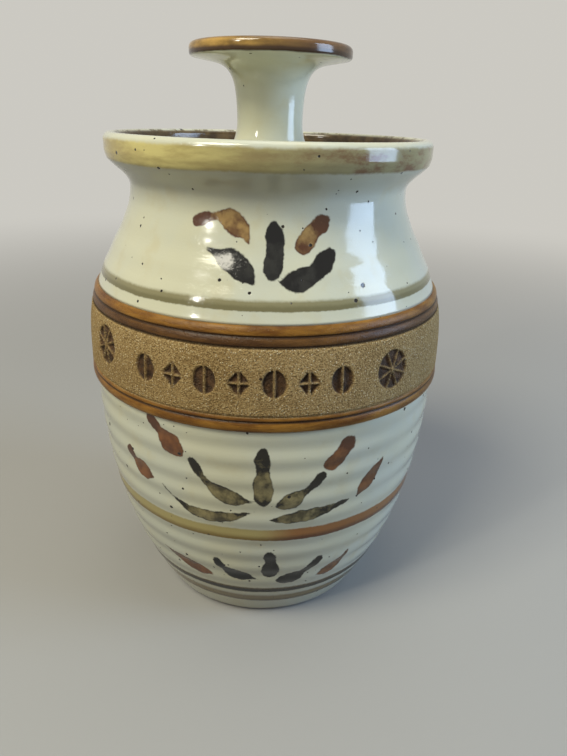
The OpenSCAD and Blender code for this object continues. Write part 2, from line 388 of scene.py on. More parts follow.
def band_outline():
    out = [(wall_radius(BAND_Z) + EDGE_PROUD, BAND_Z)]
    out += bead(BAND_Z, LOWER_GROOVE_Z, GROOVE + 0.15) + groove(LOWER_GROOVE_Z)
    out += bead(LOWER_GROOVE_Z, PLAIN_LOW, GROOVE) + groove(PLAIN_LOW)
    out += [(face_radius(PLAIN_LOW + 0.8) - 0.15, PLAIN_LOW + 0.7)]
    out += [(face_radius(z), z) for z in spaced(PLAIN_LOW + 1.0, PLAIN_HIGH - 1.0, FACE_STEP)]
    out += [(face_radius(PLAIN_HIGH - 0.8) - 0.15, PLAIN_HIGH - 0.7)]
    out += groove(PLAIN_HIGH)
    out += bead(PLAIN_HIGH, UPPER_GROOVE_Z, GROOVE) + groove(UPPER_GROOVE_Z)
    out += bead(UPPER_GROOVE_Z, BAND_TOP, GROOVE + 0.1)
    out += [(wall_radius(BAND_TOP) + EDGE_PROUD, BAND_TOP)]
    seat = [(wall_radius(z) - BAND_SEAT + BAND_JOINT, z)
            for z in spaced(BAND_TOP, BAND_Z, BAND_SEAT_STEP)]
    return out + seat + out[:1]


band = turn("clay_band_stamped", band_outline(), steps=900)

# %% [markdown]
# ## Stamps
# Between two wheel stamps stands a row of seven small marks, each a lozenge or a pair of
# leaves. Each mark is worked out as a distance: how far a point lies inside the shape.

# %% Shapes of the stamps
WHEEL_R, PETALS, MARK_W, MARK_H = 8.0, 8, 9.0, 11.0
RIDGE, PETAL_RIDGE = 0.9, 0.7  # width between leaves in mm, and the wheel's share of it


def wheel_stamp(x, y):
    """Petals pressed round a hub, with thin ridges left between them."""
    reach = np.hypot(x, y)
    sector = 2 * math.pi / PETALS
    off = np.abs((np.arctan2(y, x) + sector / 2) % sector - sector / 2)
    ridge = reach * np.sin(np.maximum(sector / 2 - off, 0)) - RIDGE / 2 * PETAL_RIDGE
    return np.minimum(WHEEL_R - reach, ridge)


def lozenge_stamp(x, y):
    """Four leaves round a cross."""
    a, b = MARK_W / 2, MARK_H / 2
    edge = (1 - np.abs(x) / a - np.abs(y) / b) * a * b / math.hypot(a, b)
    return np.minimum(edge, np.minimum(np.abs(x), np.abs(y)) - RIDGE / 2)


def leaf_stamp(x, y):
    """Two leaves beside an upright stem."""
    reach = MARK_W / 2 * np.sqrt(np.clip(1 - (y / (MARK_H / 2)) ** 2, 0, 1))
    return np.minimum(reach - np.abs(x), np.abs(x) - RIDGE / 2)


print("wheel", 2 * WHEEL_R, "mm across, marks", MARK_W, "by", MARK_H, "mm")

# %% Press the stamps
ROW_TURN, WHEEL_ANGLE, MARK_STEP, MARKS = -7.0, 44.5, 9.2, 7
LEFT_TURN, LEFT_RISE = 2, 2.2  # the left wheel was pressed a little further round, and higher
STAMP_DEPTH, STAMP_REACH, PRESS_HALF = 1.2, 12, 11.0
EDGE_WIDTH, EDGE_START, NO_STAMP = 0.7, 0.35, -5.0


def left_wheel(x, y):
    return wheel_stamp(x, y - LEFT_RISE)


def press_stamps(piece):
    angle, radius, height = around(points_of(piece))
    middle_r = face_radius(BAND_MID)
    face = radius > middle_r - STAMP_DEPTH
    height = height - BAND_MID
    rows = [(ROW_TURN - WHEEL_ANGLE - LEFT_TURN, left_wheel),
            (ROW_TURN + WHEEL_ANGLE, wheel_stamp)]
    rows += [(ROW_TURN + (i - (MARKS - 1) / 2) * MARK_STEP,
              leaf_stamp if i % 2 == 0 else lozenge_stamp) for i in range(MARKS)]
    inside = np.full(len(angle), NO_STAMP)
    for centre, shape in rows:
        along = np.radians(turned_from(angle, centre)) * middle_r
        near = face & (np.abs(along) < STAMP_REACH) & (np.abs(height) < PRESS_HALF)
        inside[near] = np.maximum(inside[near], shape(along[near], height[near]))
    pressed = np.clip(inside / EDGE_WIDTH + EDGE_START, 0, 1)
    pressed = pressed * pressed * (3 - 2 * pressed)
    group = piece.vertex_groups.new(name="pressed")
    for i in np.flatnonzero(pressed > 0):
        group.add([int(i)], float(pressed[i]), "REPLACE")
    store(piece, "stamp", inside)
    tool = piece.modifiers.new("press", "DISPLACE")
    tool.direction, tool.mid_level = "NORMAL", 0.0
    tool.strength, tool.vertex_group = -STAMP_DEPTH * MM, group.name
    bpy.context.view_layer.objects.active = piece
    bpy.ops.object.modifier_apply(modifier=tool.name)
    print("points pressed", int((pressed > 0).sum()))


press_stamps(band)

# %% [markdown]
# ## Lid and knob
# The lid is a shallow disc that drops on to the ledge inside the rim, with a ring below it
# that keeps it centred. The knob is thrown by itself as a small trumpet and stuck on with
# slip. Both are turned, with small rounds wherever a sponge went over the clay.

# %% Turn the lid
LID_R, LID_T, LID_RISE, LID_EDGE_ROUND = RIM_IN_R - 0.8, 5.0, 1.2, 1.6
FLANGE_R, FLANGE_T, FLANGE_DROP, FLANGE_ROUND = MOUTH_R - 1.2, 4.6, 11.0, 3
LID_RING_PITCH, LID_RING_RISE = 7.5, 0.12
KNOB_FOOT_R = 19.5
LID_EDGE_Z = GALLERY_Z + LID_T
KNOB_Z = LID_EDGE_Z + LID_RISE


def spaced_line(p, q, n):
    """Points between p and q on the straight line from one to the other."""
    return [(p[0] + (q[0] - p[0]) * i / n, p[1] + (q[1] - p[1]) * i / n)
            for i in range(1, n)]


def lid_outline():
    under_z, half = GALLERY_Z + 0.6, FLANGE_T / 2
    inner, tip_z = FLANGE_R - FLANGE_T, GALLERY_Z - FLANGE_DROP + FLANGE_T / 2
    out = [(0, under_z + LID_RISE), (14, under_z + LID_RISE * 0.75),
           (30, under_z + LID_RISE * 0.3), (inner - 2 * FLANGE_ROUND, under_z)]
    out += arc(inner - FLANGE_ROUND, under_z - FLANGE_ROUND, FLANGE_ROUND, FLANGE_ROUND,
               90, 0, 7)
    out += spaced_line((inner, under_z - FLANGE_ROUND), (inner, tip_z), 3)
    out += arc(FLANGE_R - half, tip_z, half, half, 180, 360, 12)[1:]
    out += spaced_line((FLANGE_R, tip_z), (FLANGE_R, GALLERY_Z), 3)
    out += [(FLANGE_R + 1, GALLERY_Z), (LID_R - 0.3, GALLERY_Z), (LID_R, GALLERY_Z + 0.3)]
    slope_r = LID_R - LID_EDGE_ROUND
    out += arc(slope_r, LID_EDGE_Z - LID_EDGE_ROUND, LID_EDGE_ROUND, LID_EDGE_ROUND, 0, 90, 8)
    for radius in spaced(LID_R - 3.5, KNOB_FOOT_R + 2, 1.6):
        share = (slope_r - radius) / (slope_r - KNOB_FOOT_R - 2)
        ridge = LID_RING_RISE * math.cos(2 * math.pi * radius / LID_RING_PITCH)
        out.append((radius, LID_EDGE_Z + LID_RISE * share
                    + (ridge - LID_RING_RISE) * math.sin(math.pi * share)))
    return out + [(KNOB_FOOT_R, KNOB_Z), (8, KNOB_Z), (0, KNOB_Z)]


lid = turn("lid_turned", lid_outline(), steps=220)

# %% Turn the knob
KNOB_H, STEM_R, WAIST_H, KNOB_WALL, KNOB_FLOOR = 42.5, 14.3, 13, 5, 6
LIP_R, LIP_T, LIP_UNDER_ROUND, LIP_TOP_ROUND = 34.3, 5.4, 1.5, 2.2
KNOB_TOP = KNOB_Z + KNOB_H


def knob_outline():
    """Up the stem, out under the lip, round it, and down the hollow to its floor."""
    waist, under_lip = (STEM_R, KNOB_Z + WAIST_H), KNOB_TOP - LIP_T
    hollow_r, floor_z = STEM_R - KNOB_WALL, KNOB_Z + KNOB_FLOOR
    out = [(0, KNOB_Z), (KNOB_FOOT_R - 4, KNOB_Z)]
    out += curve((KNOB_FOOT_R, KNOB_Z), waist, (-3.6, 3), (0, 5), 20)
    out += curve(waist, (LIP_R - 2.0, under_lip), (0.2, 23.5), (13.0, 2.6), 46)[1:-1]
    out += arc(LIP_R - LIP_UNDER_ROUND, under_lip + LIP_UNDER_ROUND,
               LIP_UNDER_ROUND, LIP_UNDER_ROUND, -60, 0, 6)
    out += arc(LIP_R - LIP_TOP_ROUND, KNOB_TOP - 2.21, LIP_TOP_ROUND, LIP_TOP_ROUND, 0, 110, 12)
    out += curve((LIP_R - 4.0, KNOB_TOP - 0.5), (hollow_r, KNOB_Z + WAIST_H + 4),
                 (-12.9, -5.3), (0, -12), 40)[1:-1]
    return out + arc(0, floor_z + hollow_r, hollow_r, hollow_r, 0, -90, 10)


knob = turn("knob_turned", knob_outline(), steps=200)

# %% [markdown]
# ## Stand-ins and bodies
# Every turned piece stands for the CAD node of the same shape. The jar and the band stay
# put, and the knob goes up with the lid, so each one rides on its own CAD body.

# %% Ride on the bodies
for piece, node, body, finish in ((jar, "jar_body", "jar", "body_glaze"),
                                  (band, "clay_band", "jar", "bare_clay"),
                                  (lid, "lid", "lid", "lid_glaze"),
                                  (knob, "knob", "lid", "knob_glaze")):
    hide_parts(node)
    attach(piece, body)
    print(piece.name, "rides on", body)

# %% [markdown]
# ## A kit for finishes
# A fired surface is layers: clay, glaze, pigment and specks. Each layer is a mask and a
# colour.


# %% Helper: finish kit
# A Mix node's sockets go by number, since its kinds of A and B share their names.
MIX_COLOURS, MIX_NUMBERS = ("RGBA", 6, 7, 2), ("FLOAT", 2, 3, 0)


def mix_node(tree, kind):
    """A Mix node's three inputs, which are the factor, A and B, and its output."""
    node = tree.nodes.new("ShaderNodeMix")
    node.data_type, a, b, out = kind
    return node.inputs[0], node.inputs[a], node.inputs[b], node.outputs[out]


class Finish:
    """Builds one material, measured in millimetres on the piece."""

    def __init__(self, name):
        self.material = bpy.data.materials.new(name)
        self.material.use_nodes = True
        self.nodes = self.material.node_tree.nodes
        self.links = self.material.node_tree.links
        self.shader = self.nodes["Principled BSDF"]
        place = self.nodes.new("ShaderNodeTexCoord")
        scaled = self.nodes.new("ShaderNodeVectorMath")
        scaled.operation = "SCALE"
        scaled.inputs["Scale"].default_value = 1 / MM
        self.links.new(place.outputs["Object"], scaled.inputs[0])
        self.place = scaled.outputs[0]
        split = self.nodes.new("ShaderNodeSeparateXYZ")
        self.links.new(self.place, split.inputs[0])
        self.x, self.y, self.z = split.outputs

    def put(self, value, socket):
        if isinstance(value, bpy.types.NodeSocket):
            self.links.new(value, socket)
        elif isinstance(value, (tuple, list)):
            socket.default_value = (*value, 1.0) if len(socket.default_value) == 4 else value
        else:
            socket.default_value = value

    def sum(self, operation, a, b=0.0, c=0.0, clamp=False):
        node = self.nodes.new("ShaderNodeMath")
        node.operation, node.use_clamp = operation, clamp
        for value, socket in zip((a, b, c), node.inputs):
            self.put(value, socket)
        return node.outputs[0]

    def between(self, value, low, high, to_low=0.0, to_high=1.0):
        """Smoothly from to_low to to_high as value goes from low to high."""
        node = self.nodes.new("ShaderNodeMapRange")
        node.interpolation_type = "SMOOTHSTEP"
        for name, number in (("Value", value), ("From Min", low), ("From Max", high),
                             ("To Min", to_low), ("To Max", to_high)):
            self.put(number, node.inputs[name])
        return node.outputs[0]

    def stripe(self, value, low, high, soft):
        """1 between low and high, fading over soft at each side."""
        rise = self.between(value, low - soft / 2, low + soft / 2)
        fall = self.between(value, high - soft / 2, high + soft / 2, 1.0, 0.0)
        return self.sum("MULTIPLY", rise, fall)

    def mapped(self, scale, shift):
        """The place on the piece, scaled, and moved so that two patterns don't agree."""
        mapping = self.nodes.new("ShaderNodeMapping")
        mapping.inputs["Scale"].default_value = scale
        mapping.inputs["Location"].default_value = (shift, shift * 0.7, shift * 1.3)
        self.links.new(self.place, mapping.inputs["Vector"])
        return mapping.outputs[0]

    def noise(self, size, detail=3.0, rough=0.55, stretch=(1, 1, 1), shift=0.0):
        """Noise whose blotches are about size mm across."""
        node = self.nodes.new("ShaderNodeTexNoise")
        for name, number in (("Scale", 1.0), ("Detail", detail), ("Roughness", rough)):
            node.inputs[name].default_value = number
        scale = tuple(s / size for s in stretch)
        self.links.new(self.mapped(scale, shift), node.inputs["Vector"])
        return node.outputs["Fac"]

    def swing(self, reach, *size_and_detail, **options):
        """Noise that swings over reach in all, half of it to each side of zero."""
        noise = self.noise(*size_and_detail, **options)
        return self.sum("MULTIPLY_ADD", noise, reach, -reach / 2)

    def cells(self, size, shift=0.0):
        """(distance to the nearest grain, then two random numbers for that grain)."""
        node = self.nodes.new("ShaderNodeTexVoronoi")
        node.inputs["Scale"].default_value = 1.0
        self.links.new(self.mapped((1 / size,) * 3, shift), node.inputs["Vector"])
        split = self.nodes.new("ShaderNodeSeparateColor")
        self.links.new(node.outputs["Color"], split.inputs[0])
        return node.outputs["Distance"], split.outputs[0], split.outputs[1]

    def radius(self):
        """Distance from the upright axis, in mm."""
        x_squared, y_squared = (self.sum("MULTIPLY", c, c) for c in (self.x, self.y))
        return self.sum("SQRT", self.sum("ADD", x_squared, y_squared))

    def stored(self, name):
        node = self.nodes.new("ShaderNodeAttribute")
        node.attribute_name = name
        return node.outputs["Fac"]

    def mixed(self, kind, *values):
        *inputs, output = mix_node(self.material.node_tree, kind)
        for value, socket in zip(values, inputs):
            self.put(value, socket)
        return output

    def over(self, amount, under, top):
        """Lays the top colour over the one below."""
        return self.mixed(MIX_COLOURS, amount, under, top)

    def blend(self, amount, under, top):
        """The same for plain numbers, such as roughness."""
        return self.mixed(MIX_NUMBERS, amount, under, top)

    def bump(self, height, distance, strength=1.0, under=None):
        node = self.nodes.new("ShaderNodeBump")
        node.inputs["Strength"].default_value = strength
        node.inputs["Distance"].default_value = distance * MM
        self.put(height, node.inputs["Height"])
        if under is not None:
            self.links.new(under, node.inputs["Normal"])
        return node.outputs[0]

    def finish(self, piece, colour, rough, normal, gleam=0.5):
        self.put(colour, self.shader.inputs["Base Color"])
        self.put(rough, self.shader.inputs["Roughness"])
        self.shader.inputs["Specular IOR Level"].default_value = gleam
        self.links.new(normal, self.shader.inputs["Normal"])
        piece.data.materials.clear()
        piece.data.materials.append(self.material)
        print(self.material.name, "has", len(self.nodes), "nodes")


print("finish kit ready")

# %% [markdown]
# ## Body glaze
# The glaze is a pale cream that turns bluish where it lies thick and warm where it is thin.
# Iron in the clay burns through it as dark specks. Lines are banded on with a loaded brush
# while the wheel turns, so they waver a little, and they are darker where the brush began.


# %% Helper: cream glaze and iron specks
CREAM, CREAM_THIN, CREAM_THICK = (0.58, 0.575, 0.425), (0.54, 0.50, 0.32), (0.55, 0.565, 0.46)
IRON = (0.014, 0.010, 0.007)
# Cell size in mm, share of the cells with a speck, largest radius in cells, and shift.
SPECKS = ((4.4, 0.40, 0.115, 11), (5.6, 0.32, 0.16, 23), (14.0, 0.40, 0.090, 5))


def cream_glaze(finish, shift=0.0):
    cloud = finish.between(finish.noise(38, 4.0, shift=shift), 0.36, 0.66)
    colour = finish.over(cloud, CREAM, CREAM_THICK)
    thin = finish.between(finish.noise(13, 5.0, 0.6, shift=shift + 3), 0.52, 0.74, 0.0, 0.5)
    return finish.over(thin, colour, CREAM_THIN)


def speck(finish, colour, size, share, reach, dark, shift):
    """Some grains of a cell pattern show as dots. Gives the colour and the dots' mask."""
    distance, chance, bulk = finish.cells(size, shift)
    chosen = finish.between(chance, 1 - share, 1 - share + 0.002)
    radius = finish.sum("MULTIPLY_ADD", bulk, reach * 0.75, reach * 0.25)
    ragged = finish.swing(0.6, 0.7, 2.0, shift=shift)
    edge = finish.sum("SUBTRACT", radius, finish.sum("MULTIPLY_ADD", ragged, radius, distance))
    mask = finish.sum("MULTIPLY", finish.between(edge, -0.008, 0.016), chosen)
    return finish.over(mask, colour, dark), mask


def iron_specks(finish, colour, shift=0.0):
    masks = []
    for size, share, reach, own_shift in SPECKS:
        colour, mask = speck(finish, colour, size, share, reach, IRON, own_shift + shift)
        masks.append(mask)
    small, middling, large = masks
    return colour, finish.sum("MAXIMUM", small, finish.sum("MAXIMUM", middling, large))


def sunken(finish, specks, normal):
    """Iron melts the glaze away, so each speck is a shallow pit."""
    return finish.bump(specks, -0.08, 0.6, normal)


print("kinds of iron speck on the glaze:", len(SPECKS))


# %% Helper: banded lines
def brushed_line(finish, colour, height, edges, thin, full, pooled, shift=0.0):
    """A line banded on the turning pot. Edges are its low and high ends, each with its
    softness, and the pigment pools from thin to full over the pooled heights."""
    low, low_soft, high, high_soft = edges
    streaks = finish.noise(5.0, 4.0, 0.6, stretch=(0.12, 0.12, 2.6), shift=shift + low)
    patch = finish.noise(26, 3.0, shift=shift + high)
    rise = finish.between(height, low - low_soft / 2, low + low_soft / 2)
    fall = finish.between(height, high - high_soft / 2, high + high_soft / 2, 1.0, 0.0)
    load = finish.sum("MULTIPLY_ADD", streaks, 0.6, 0.85)
    load = finish.sum("MULTIPLY", load, finish.between(patch, 0.25, 0.7, 0.85, 1.1))
    mask = finish.sum("MULTIPLY", finish.sum("MULTIPLY", rise, fall), load, clamp=True)
    pool = finish.between(finish.sum("MULTIPLY_ADD", streaks, 1.6, height),
                          pooled[0] + 0.8, pooled[1] + 0.8)
    return finish.over(mask, colour, finish.over(pool, thin, full))


# %% Helper: the lines round the jar
OCHRE, OCHRE_DEEP = (0.36, 0.30, 0.115), (0.20, 0.135, 0.030)
RUST_LINE, RUST_DEEP = (0.26, 0.11, 0.030), (0.105, 0.032, 0.006)
GREEN_LINE, GREEN_DEEP = (0.240, 0.220, 0.115), (0.165, 0.150, 0.070)
NEAR_BLACK, UMBER, TAN = (0.012, 0.009, 0.004), (0.095, 0.064, 0.028), (0.20, 0.15, 0.060)


def banded_lines(f, colour, height, waver):
    """Four lines. The third from the foot goes from ochre on the left to rust on the right."""
    to_right = f.between(f.sum("ADD", f.x, f.sum("MULTIPLY", waver, 8.0)), -6, 16)
    middle = (f.over(to_right, OCHRE, RUST_LINE), f.over(to_right, OCHRE_DEEP, RUST_DEEP))
    for edges, (thin, full), pooled, shift in (
            ((164.6, 0.7, 168.2, 1.8), (GREEN_LINE, GREEN_DEEP), (167.2, 165.6), 0.0),
            ((62.0, 0.8, 68.2, 1.2), middle, (65.6, 62.6), 3.0),
            ((21.6, 1.0, 25.2, 1.6), (UMBER, NEAR_BLACK), (24.6, 23.6), 6.0),
            ((12.2, 1.6, 17.8, 3.0), (TAN, UMBER), (15.0, 12.6), 9.0)):
        colour = brushed_line(f, colour, height, edges, thin, full, pooled, shift)
    return colour


# %% Helper: the washes on the rim
RIM_OLIVE, RIM_OCHRE = (0.66, 0.575, 0.210), (0.44, 0.350, 0.115)
RIM_BROWN, RIM_GREY = (0.17, 0.068, 0.020), (0.245, 0.212, 0.108)
INNER_DARK, INNER_BROWN = (0.055, 0.034, 0.018), (0.14, 0.09, 0.04)


def outer_rim(f, colour, height, radius):
    """A thin olive wash on the rim's face, greyer and browner towards the right."""
    streaked = f.between(f.noise(9, 5.0, 0.65, stretch=(0.35, 0.35, 1.5), shift=8), 0.36, 0.64)
    wash = f.over(streaked, RIM_OLIVE, RIM_OCHRE)
    wash = f.over(f.between(f.x, -50, 25, 0.0, 0.8), wash, RIM_GREY)
    patches = f.between(f.noise(15, 5.0, 0.65, stretch=(0.6, 0.6, 1.4), shift=21), 0.50, 0.62)
    browner = f.sum("MULTIPLY", patches, f.between(f.x, -15, 45, 0.15, 0.95))
    wash = f.over(browner, wash, RIM_BROWN)
    drips = f.swing(1.6, 7, 3.0, stretch=(1, 1, 0.2), shift=2)
    top = f.between(f.sum("ADD", height, drips), 219.6, 221.2, 1.0, 0.0)
    mask = f.sum("MULTIPLY", f.between(height, 211.4, 212.6), top)
    mask = f.sum("MULTIPLY", mask, f.between(radius, RIM_R - 3.4, RIM_R - 2.4))
    return f.over(f.sum("MULTIPLY", mask, 0.97), colour, wash)


def inner_rim(f, colour, radius):
    """A mottled brown inside the rim, which breaks over the rim's inner edge."""
    mask = f.sum("MULTIPLY", f.between(radius, RIM_IN_R + 0.3, RIM_IN_R + 1.7, 1, 0),
                 f.between(f.z, GALLERY_Z - 3, GALLERY_Z))
    mask = f.sum("MULTIPLY", mask, f.between(f.stored("inside"), 0.4, 0.6))
    mottled = f.over(f.between(f.noise(6, 4.0), 0.35, 0.7), INNER_DARK, INNER_BROWN)
    colour = f.over(mask, colour, mottled)
    broken = f.between(f.noise(4.5, 5.0, 0.7, shift=13), 0.48, 0.60, 0.0, 0.8)
    edge = f.sum("MULTIPLY", f.between(radius, RIM_R - 4.3, RIM_R - 2.9, 1, 0),
                 f.between(f.z, JAR_H - 3.0, JAR_H - 1.6))
    return f.over(f.sum("MULTIPLY", broken, edge), colour, UMBER)


# %% Helper: the pigment of the dabs
OLIVE_THIN, OLIVE_FULL = (0.25, 0.210, 0.095), (0.012, 0.010, 0.005)
RUST_LOWER, RUST_UPPER, RUST_FULL = (0.20, 0.078, 0.024), (0.34, 0.215, 0.075), (0.085, 0.030, 0.011)
DARK_THIN, DARK_FULL = (0.022, 0.022, 0.019), (0.004, 0.004, 0.004)


def brushed_dabs(f, colour):
    """Pigment is thickest in a dab's head, then at its tail's end and along its edge."""
    edge_noise = f.swing(2.2, 5.0, 2.0, 0.5, shift=2)
    bristles = f.swing(0.7, 1.5, 2.0, 0.5, shift=9)
    wash = f.between(f.noise(5.0, 3.0, 0.55, shift=31), 0.34, 0.66)
    rust_thin = f.over(f.between(f.z, 140, 180), RUST_LOWER, RUST_UPPER)
    for name, thin, full, head, tail, cloudy in (
            ("olive", OLIVE_THIN, OLIVE_FULL, 1.0, 0.85, 0.80),
            ("rust", rust_thin, RUST_FULL, 0.9, 0.35, 0.80),
            ("dark", DARK_THIN, DARK_FULL, 0.9, 0.5, 0.9)):
        depth = f.sum("ADD", f.sum("ADD", f.stored(name), edge_noise), bristles)
        blotch = f.noise(2.5, 3.0, shift=17)
        travel = f.sum("MULTIPLY_ADD", blotch, 0.40, f.stored(name + "_travel"))
        ends = f.sum("MAXIMUM", f.between(travel, 0.76, 1.10, 0.0, head),
                     f.between(travel, 0.15, 0.50, tail, 0.0))
        edge = f.between(depth, 0.1, 1.2, 0.55, 0.0)
        load = f.sum("ADD", f.sum("MAXIMUM", ends, edge), f.sum("MULTIPLY", wash, cloudy),
                     clamp=True)
        colour = f.over(f.between(depth, -0.15, 0.55), colour, f.over(load, thin, full))
    return colour


# %% Body glaze
BARE_FOOT = (0.24, 0.17, 0.095)


def body_glaze():
    f = Finish("cream_body_glaze")
    waver = f.swing(1.6, 30, 2.0)
    height = f.sum("ADD", f.sum("ADD", f.z, waver), f.swing(0.7, 1.6, 3.0))
    radius = f.radius()
    colour = banded_lines(f, cream_glaze(f), height, waver)
    colour = inner_rim(f, outer_rim(f, colour, height, radius), radius)
    colour, specks = iron_specks(f, brushed_dabs(f, colour))
    bare = f.between(f.z, 0.6, 2.2, 1.0, 0.0)
    colour = f.over(bare, colour, BARE_FOOT)
    ripple = f.noise(12.0, 3.0, 0.5, stretch=(0.22, 0.22, 2.1), shift=6)
    pits = f.between(f.noise(0.8, 2.0, shift=4), 0.25, 0.45, 0.0, 1.0)
    normal = f.bump(pits, 0.05, 0.35, f.bump(ripple, 0.25, 0.5))
    gloss = f.between(f.noise(11, 3.0, shift=14), 0.35, 0.7, 0.07, 0.14)
    f.finish(jar, colour, f.blend(bare, gloss, 0.75), sunken(f, specks, normal), gleam=0.48)


body_glaze()

# %% [markdown]
# ## Bare clay of the band
# The strip carries no glaze. It is a buff clay full of sand, which catches light as tiny
# pale grains. Iron oxide is wiped over the stamps and stays in the recesses, with lighter
# patches that are partly worn oxide and partly painted reflection. The beads above and below
# wear a thin orange-brown glaze. The bead under the top one is painted darker, partly as
# painted shade, and the grooves between the beads are painted dark as painted shade.


# %% Bare clay
SAND, SAND_DARKER = (0.350, 0.238, 0.098), (0.282, 0.184, 0.070)
GRAIN_DARK, GRAIN_LIGHT, GLINT = (0.095, 0.055, 0.020), (0.50, 0.385, 0.190), (0.68, 0.57, 0.36)
CLAY_SPECK = (0.045, 0.025, 0.012)
OXIDE, OXIDE_WORN_AND_SHEEN = (0.022, 0.010, 0.006), (0.095, 0.048, 0.022)


def sand_and_oxide(f):
    """Sandy clay with oxide in its stamps. Gives colour, grit, glints and oxide."""
    cloud = f.between(f.noise(24, 4.0), 0.35, 0.68)
    colour = f.over(cloud, SAND, SAND_DARKER)
    grain = f.noise(0.62, 2.0, 0.6, shift=5)
    colour = f.over(f.between(grain, 0.34, 0.50, 0.70, 0.0), colour, GRAIN_DARK)
    colour = f.over(f.between(grain, 0.50, 0.68, 0.0, 0.70), colour, GRAIN_LIGHT)
    distance, chance, _ = f.cells(0.8)
    glint = f.sum("MULTIPLY", f.between(chance, 0.80, 0.82), f.between(distance, 0.42, 0.30))
    colour = f.over(f.sum("MULTIPLY", glint, 0.7), colour, GLINT)
    colour, _ = speck(f, colour, 9.0, 0.25, 0.10, CLAY_SPECK, 17)
    inside = f.sum("ADD", f.stored("stamp"), f.swing(0.9, 1.8, 4.0))
    oxide = f.between(inside, -0.45, 0.35)
    # The lighter patches in the stamps are partly worn oxide and partly painted reflection.
    worn_and_sheen = f.over(f.between(f.noise(3.0, 4.0, shift=5), 0.35, 0.7), OXIDE, OXIDE_WORN_AND_SHEEN)
    colour = f.over(f.sum("MULTIPLY", oxide, 0.95), colour, worn_and_sheen)
    grit = f.sum("ADD", f.between(distance, 0.5, 0.1), f.sum("MULTIPLY", grain, 2.2))
    return colour, grit, glint, oxide


# %% Bead glaze and the band's finish
ORANGE_DEEP, ORANGE_THIN = (0.110, 0.040, 0.006), (0.300, 0.145, 0.024)
BROWN_AND_SHADE_DEEP, BROWN_AND_SHADE_THIN = (0.050, 0.021, 0.006), (0.140, 0.066, 0.018)
GROOVE_PAINTED_SHADE = (0.026, 0.012, 0.005)


def bare_clay():
    f = Finish("sandy_bare_clay")
    colour, grit, glint, oxide = sand_and_oxide(f)
    height = f.sum("ADD", f.z, f.swing(0.9, 22, 3.0))
    cloud = f.between(f.noise(7, 5.0, 0.65, stretch=(0.4, 0.4, 2), shift=3), 0.3, 0.7)
    orange = f.over(cloud, ORANGE_DEEP, ORANGE_THIN)
    # Painted shade: the bead under the top one is a darker brown than the orange, partly its own
    # glaze and partly painted shade.
    brown_and_shade = f.over(cloud, BROWN_AND_SHADE_DEEP, BROWN_AND_SHADE_THIN)
    lower = f.between(height, PLAIN_LOW - 0.5, PLAIN_LOW + 0.3, 1.0, 0.0)
    upper = f.between(height, PLAIN_HIGH - 0.3, PLAIN_HIGH + 0.5)
    top_bead = f.between(f.z, BAND_TOP - 4.1, BAND_TOP - 3.5)
    colour = f.over(lower, colour, orange)
    colour = f.over(upper, colour, f.over(top_bead, brown_and_shade, orange))
    # Painted shade: the grooves between the beads are painted dark.
    for groove_z in (LOWER_GROOVE_Z, PLAIN_HIGH, UPPER_GROOVE_Z):
        dark = f.stripe(f.z, groove_z - 0.55, groove_z + 0.55, 0.5)
        colour = f.over(f.sum("MULTIPLY", dark, 0.85), colour, GROOVE_PAINTED_SHADE)
    glazed = f.sum("MAXIMUM", lower, upper)
    rough = f.blend(f.sum("MAXIMUM", glazed, f.sum("MULTIPLY", oxide, 0.8)), 0.85, 0.34)
    calm = f.sum("SUBTRACT", 1.0, f.sum("MULTIPLY", glazed, 0.72))
    normal = f.bump(f.sum("MULTIPLY", grit, calm), 0.26, 0.9)
    f.finish(band, colour, f.blend(glint, rough, 0.35), normal, gleam=0.2)


bare_clay()

# %% [markdown]
# ## Glaze of lid and knob
# Lid and knob are dipped in the same cream glaze as the body. On the sharp lip of the knob
# the glaze runs thin and breaks to amber, and the lip is darker brown along its lower edge.


# %% Lid glaze
LID_BROWN, LID_BARE = (0.115, 0.065, 0.03), (0.27, 0.19, 0.105)


def lid_glaze():
    f = Finish("cream_lid_glaze")
    ragged_radius = f.sum("ADD", f.radius(), f.swing(3.0, 5, 4.0))
    edge = f.between(ragged_radius, LID_R - 6, LID_R - 2.5)
    colour = f.over(f.sum("MULTIPLY", edge, 0.85), cream_glaze(f, 40.0), LID_BROWN)
    bare = f.between(f.z, GALLERY_Z + 0.2, GALLERY_Z + 1.1, 1.0, 0.0)
    colour, specks = iron_specks(f, colour, 7.0)
    normal = sunken(f, specks, f.bump(f.noise(6, 3.0), 0.2, 0.5))
    gloss = f.between(f.noise(11, 3.0), 0.35, 0.7, 0.10, 0.19)
    f.finish(lid, f.over(bare, colour, LID_BARE), f.blend(bare, gloss, 0.72), normal)


lid_glaze()

# %% Knob glaze
AMBER, AMBER_DEEP = (0.500, 0.300, 0.072), (0.175, 0.096, 0.014)
BURNT_DEEP, BURNT = (0.075, 0.030, 0.011), (0.190, 0.095, 0.036)
LIP_DARK, LIP_TOP_BROWN = (0.040, 0.016, 0.006), (0.10, 0.050, 0.018)


def lip_colour(f, height):
    """Amber on the left and burnt on the right, and darker along the lower edge."""
    mottle = f.between(f.noise(9, 5.0, 0.65, stretch=(0.5, 0.5, 1.2), shift=4), 0.35, 0.66)
    side = f.over(f.between(f.x, -14, 20), f.over(mottle, AMBER, AMBER_DEEP),
                  f.over(mottle, BURNT_DEEP, BURNT))
    low_edge = f.between(height, KNOB_TOP - 3.9, KNOB_TOP - 2.6, 1.0, 0.0)
    side = f.over(f.sum("MULTIPLY", low_edge, 0.92), side, LIP_DARK)
    top_edge = f.between(height, KNOB_TOP - 1.2, KNOB_TOP - 0.3)
    return f.over(f.sum("MULTIPLY", top_edge, 0.6), side, LIP_TOP_BROWN)


